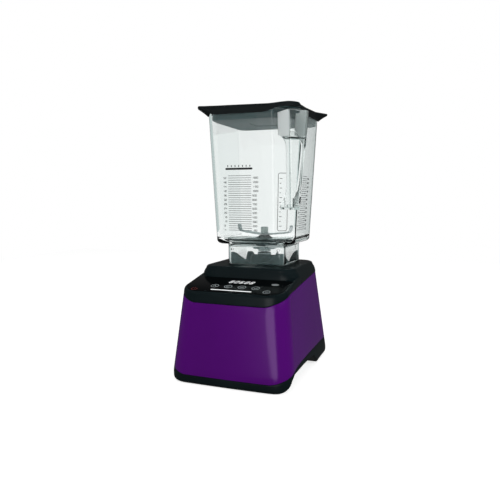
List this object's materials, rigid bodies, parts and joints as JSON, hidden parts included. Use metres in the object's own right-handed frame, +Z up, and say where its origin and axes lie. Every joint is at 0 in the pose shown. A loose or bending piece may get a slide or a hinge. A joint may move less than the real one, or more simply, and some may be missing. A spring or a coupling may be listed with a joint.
{
  "type": "countertop blender",
  "caption": "Countertop blender: tapered painted base with sloped touch panel, square clear jar with corner handle, lid with lifting ears and a spinning blade.",
  "frame": {"origin": "centre of the base's footprint, on the surface it stands on", "axes": "+X to the user's right, +Y to the back, +Z up; the touch panel faces -Y, and the motor, jar and blade turn about a +Z axis 45 mm behind the origin"},
  "size_m": [0.184, 0.2392, 0.4056],
  "materials": {
    "purple_paint": "satin gloss",
    "black_abs": "fine satin",
    "panel_glass": "high gloss",
    "circuit_board": "solder mask",
    "display": "smoked",
    "heat_sink": "extruded",
    "capacitor": "sleeved",
    "rubber": "matt",
    "zinc_screw": "zinc plated",
    "gland_black": "satin",
    "switch_black": "satin",
    "grey_elastomer": "matt",
    "duct_plastic": "satin",
    "cast_alloy": "as cast",
    "bearing_steel": "ground",
    "lamination": "stacked sheet",
    "copper": "enamelled wire",
    "brass": "stamped",
    "spring_steel": "drawn",
    "carbon": "graphite",
    "steel": "turned",
    "fan_plastic": "satin",
    "socket_chrome": "polished",
    "clear_copolyester": "clear gloss",
    "hub_grey": "satin",
    "lid_black": "satin",
    "lid_grey": "satin",
    "blade_steel": "satin"
  },
  "bodies": {
    "base": {"painted_shell": "purple_paint", "top_housing": "black_abs", "control_panel": "panel_glass", "touch_board": "circuit_board", "display_module": "display", "power_board": "circuit_board", "board_heat_sink": "heat_sink", "board_capacitors": "capacitor", "base_pan": "black_abs", "rubber_feet": "rubber", "housing_screws": "zinc_screw", "cord_gland": "gland_black", "switch_body": "switch_black", "jar_seat_pad": "grey_elastomer", "air_duct": "duct_plastic", "motor_isolators": "rubber", "isolator_screws": "zinc_screw", "upper_bracket": "cast_alloy", "upper_bearing": "bearing_steel", "lower_bracket": "cast_alloy", "lower_bearing": "bearing_steel", "stator_core": "lamination", "field_windings": "copper", "stator_bolts": "zinc_screw", "brush_holders": "brass", "brush_springs": "spring_steel", "carbon_brushes": "carbon"},
    "rotor": {"motor_shaft": "steel", "armature_core": "lamination", "armature_windings": "copper", "commutator": "copper", "cooling_fan": "fan_plastic", "drive_socket": "socket_chrome"},
    "rocker": {"power_rocker": "switch_black"},
    "jar": {"jar": "clear_copolyester", "bearing_housing": "hub_grey", "blade_bearings": "bearing_steel", "shaft_seal": "rubber", "retaining_nut": "steel"},
    "blade": {"blade_shaft": "steel", "blade": "blade_steel", "blade_nut": "hub_grey"},
    "lid": {"lid_shell": "lid_black", "lid_plug": "lid_grey"},
    "vent_cap": {"vent_cap": "lid_black"}
  },
  "joints": [
    {"name": "rotor_spin", "type": "hinge", "parent": "base", "child": "rotor", "pos_m": [0, 0.045, 0.085], "axis": [0, 0, 1], "continuous": true},
    {"name": "power_rocker_tilt", "type": "hinge", "parent": "base", "child": "rocker", "pos_m": [0.046, 0.10936, 0.06582], "axis": [-1, 0, 0], "range_deg": [0, 16]},
    {"name": "jar_lift", "type": "slide", "parent": "base", "child": "jar", "axis": [0, 0, 1], "range_m": [0, 0.07]},
    {"name": "blade_spin", "type": "hinge", "parent": "jar", "child": "blade", "pos_m": [0, 0.045, 0.205], "axis": [0, 0, 1], "continuous": true},
    {"name": "lid_lift", "type": "slide", "parent": "jar", "child": "lid", "axis": [0, 0, 1], "range_m": [0, 0.06]},
    {"name": "vent_cap_pull", "type": "slide", "parent": "lid", "child": "vent_cap", "axis": [0, 0, 1], "range_m": [0, 0.04]}
  ],
  "couplings": [
    {"joint": "blade_spin", "follows": "rotor_spin", "ratio": 1}
  ]
}
